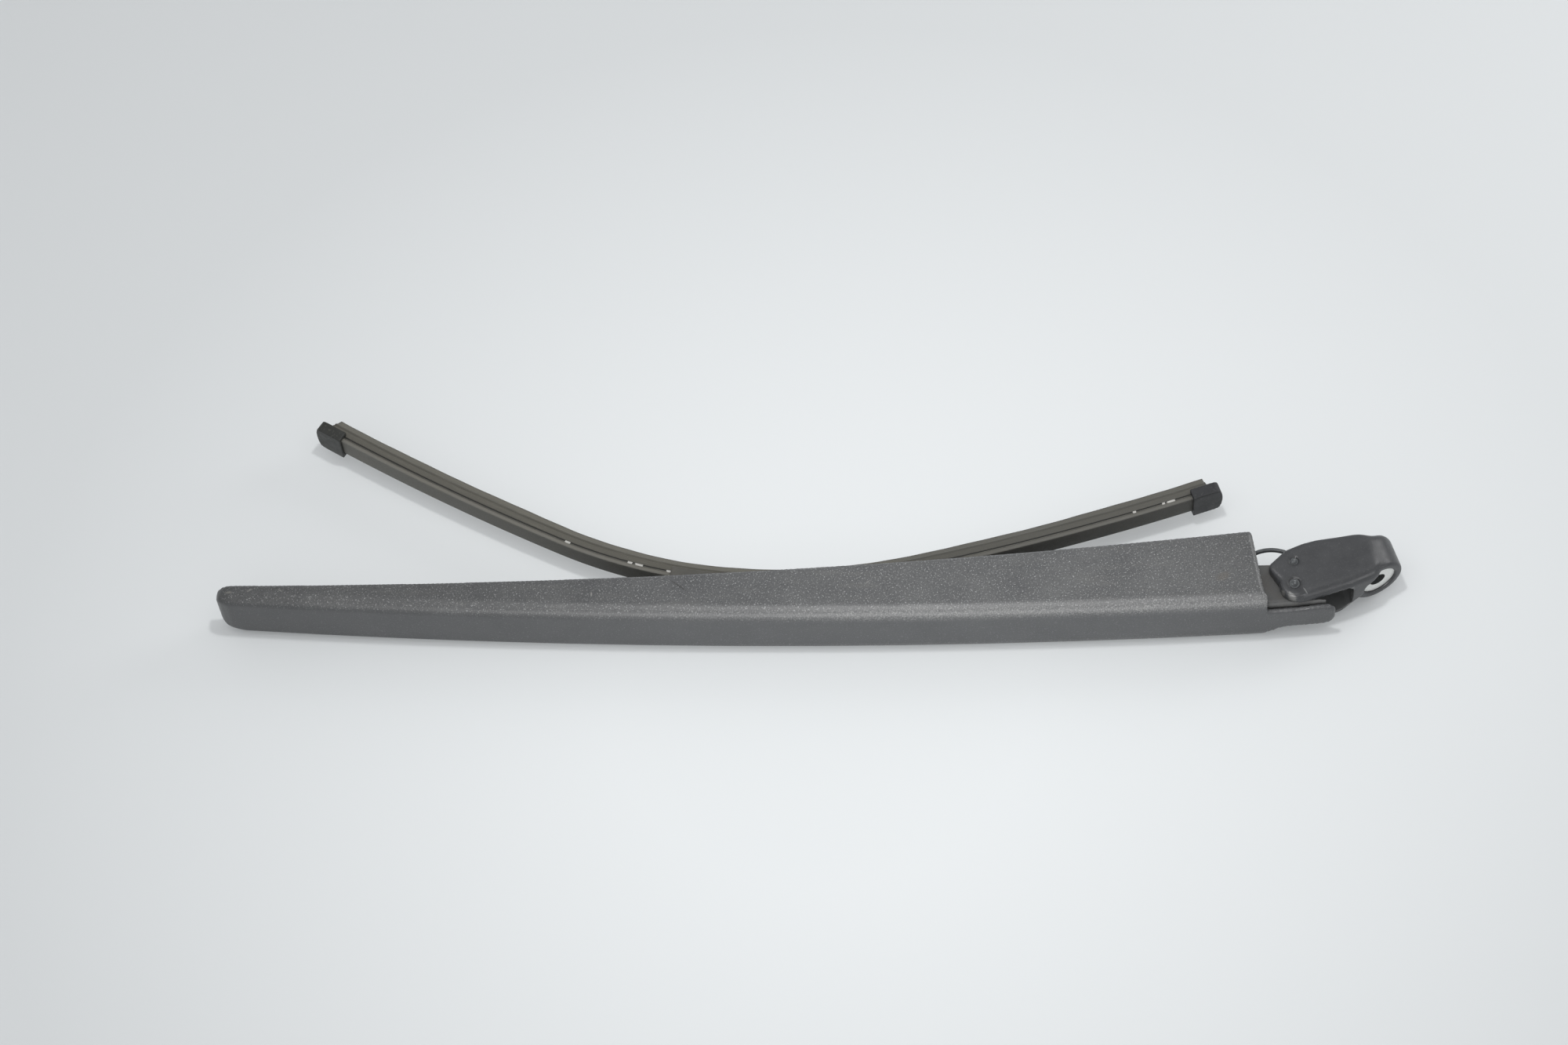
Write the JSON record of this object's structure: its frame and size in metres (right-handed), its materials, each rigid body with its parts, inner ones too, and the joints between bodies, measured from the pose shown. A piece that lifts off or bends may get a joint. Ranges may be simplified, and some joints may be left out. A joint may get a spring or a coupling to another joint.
{
  "type": "rear window wiper",
  "caption": "Rear window wiper with a long tapered grey arm, black mounting head and flat blade.",
  "frame": {"origin": "centre of the nut seat in the mounting head, on the spindle's axis", "axes": "+Y along the spindle towards the glass, +X from the hinge towards the spindle, +Z across the arm's width"},
  "size_m": [0.413, 0.2609, 0.027],
  "materials": {
    "black_paint": "satin",
    "arm_plastic": "matte",
    "bare_metal": "worn",
    "dark_steel": "satin",
    "rusty_steel": "worn",
    "plated_steel": "satin",
    "bush_plastic": "matte",
    "black_plastic": "matte",
    "rubber": "matte",
    "rail_steel": "worn",
    "cap_plastic": "matte"
  },
  "bodies": {
    "head": {"mounting_head": "black_paint", "spindle_insert": "bare_metal", "hinge_pin": "dark_steel", "spring_pin": "dark_steel"},
    "arm": {"arm_cover": "arm_plastic", "hinge_bracket": "rusty_steel", "hinge_bush_upper": "bush_plastic", "hinge_bush_lower": "bush_plastic", "stud_retainers": "plated_steel", "spring_anchor_pin": "plated_steel", "blade_pin": "plated_steel"},
    "hook": {"spring_hook": "dark_steel", "tension_spring": "dark_steel"},
    "blade": {"blade_clip": "black_plastic", "blade_base": "black_plastic", "wiper_rubber": "rubber", "rail_upper": "rail_steel", "rail_lower": "rail_steel", "end_cap_tip": "cap_plastic", "end_cap_root": "cap_plastic"}
  },
  "joints": [
    {"name": "arm_hinge", "type": "hinge", "parent": "head", "child": "arm", "pos_m": [-0.0325, 0.008, 0], "axis": [0, 0, 1], "range_deg": [0, 95]},
    {"name": "hook_swing", "type": "hinge", "parent": "head", "child": "hook", "pos_m": [-0.02785, 0.0164, 0], "axis": [0, 0, 1], "range_deg": [0, 91]},
    {"name": "blade_pivot", "type": "hinge", "parent": "arm", "child": "blade", "pos_m": [-0.22768, 0.10612, 0], "axis": [0, 0, 1], "range_deg": [-6, 12]}
  ],
  "couplings": [
    {"joint": "hook_swing", "follows": "arm_hinge", "ratio": 0.935}
  ]
}
